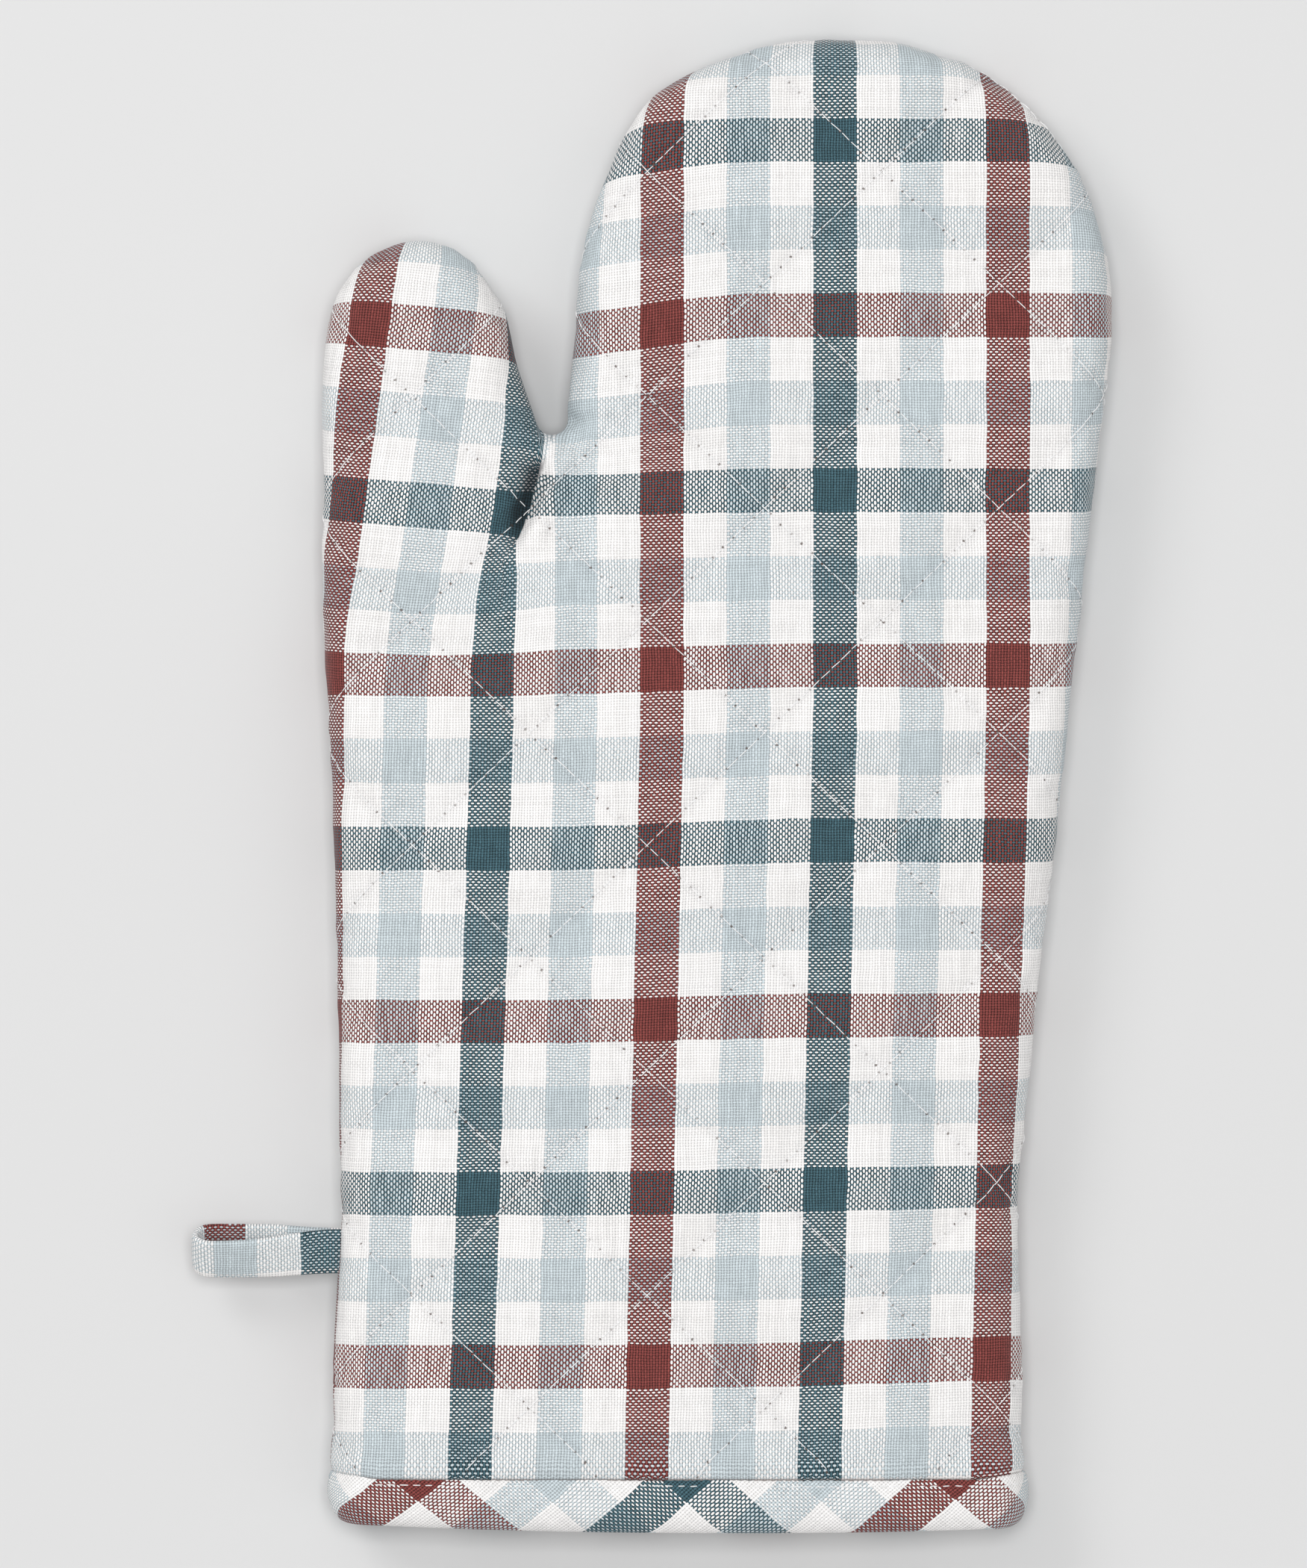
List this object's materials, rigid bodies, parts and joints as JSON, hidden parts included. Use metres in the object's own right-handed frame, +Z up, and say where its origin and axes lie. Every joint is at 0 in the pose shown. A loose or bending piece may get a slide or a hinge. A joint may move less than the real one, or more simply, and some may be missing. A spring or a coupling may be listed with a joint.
{
  "type": "oven mitt",
  "caption": "Quilted oven mitt with a separate thumb, a bound cuff and a folded hanging loop in its side seam, lying flat on its back panel.",
  "frame": {"origin": "middle of the footprint, on the surface the mitt lies on", "axes": "+Y from the cuff to the fingertips, +X away from the thumb and the loop, +Z up out of the front panel"},
  "size_m": [0.198, 0.32, 0.024],
  "materials": {
    "outer_fabric": "yarn-dyed plain weave plaid, white and pale blue with teal and red-brown stripes, quilted",
    "wadding": "cotton wadding",
    "lining": "plain cotton",
    "binding": "the same plaid cut on the bias",
    "loop": "the same plaid folded into a narrow strip"
  },
  "bodies": {
    "mitt_body": {"front_outer_palm": "outer_fabric", "front_outer_knuckles": "outer_fabric", "front_outer_thumb_root": "outer_fabric", "front_wadding_palm": "wadding", "front_wadding_knuckles": "wadding", "front_wadding_thumb_root": "wadding", "front_lining_palm": "lining", "front_lining_knuckles": "lining", "front_lining_thumb_root": "lining", "back_outer_palm": "outer_fabric", "back_outer_knuckles": "outer_fabric", "back_outer_thumb_root": "outer_fabric", "back_wadding_palm": "wadding", "back_wadding_knuckles": "wadding", "back_wadding_thumb_root": "wadding", "back_lining_palm": "lining", "back_lining_knuckles": "lining", "back_lining_thumb_root": "lining", "cuff_binding": "binding", "loop_tail": "loop"},
    "fingers": {"front_outer_fingers": "outer_fabric", "front_wadding_fingers": "wadding", "front_lining_fingers": "lining", "back_outer_fingers": "outer_fabric", "back_wadding_fingers": "wadding", "back_lining_fingers": "lining"},
    "thumb": {"front_outer_thumb": "outer_fabric", "front_wadding_thumb": "wadding", "front_lining_thumb": "lining", "back_outer_thumb": "outer_fabric", "back_wadding_thumb": "wadding", "back_lining_thumb": "lining"},
    "hanging_loop": {"hanging_loop": "loop"}
  },
  "joints": [
    {"name": "finger_curl", "type": "hinge", "parent": "mitt_body", "child": "fingers", "pos_m": [0.0402, 0.098, 0.012], "axis": [1, 0, 0], "range_deg": [-75, 75], "stiffness_Nm_per_rad": 0.06, "deforming": ["front_outer_knuckles", "front_wadding_knuckles", "front_lining_knuckles", "back_outer_knuckles", "back_wadding_knuckles", "back_lining_knuckles"]},
    {"name": "thumb_fold", "type": "hinge", "parent": "mitt_body", "child": "thumb", "pos_m": [-0.0497, 0.0787, 0.012], "axis": [0.9397, 0.342, 0], "range_deg": [-50, 50], "stiffness_Nm_per_rad": 0.03, "deforming": ["front_outer_thumb_root", "front_wadding_thumb_root", "front_lining_thumb_root", "back_outer_thumb_root", "back_wadding_thumb_root", "back_lining_thumb_root"]},
    {"name": "loop_swing", "type": "hinge", "parent": "mitt_body", "child": "hanging_loop", "pos_m": [-0.0695, -0.1, 0.012], "axis": [0, 1, 0], "range_deg": [-80, 80], "stiffness_Nm_per_rad": 0.002}
  ]
}
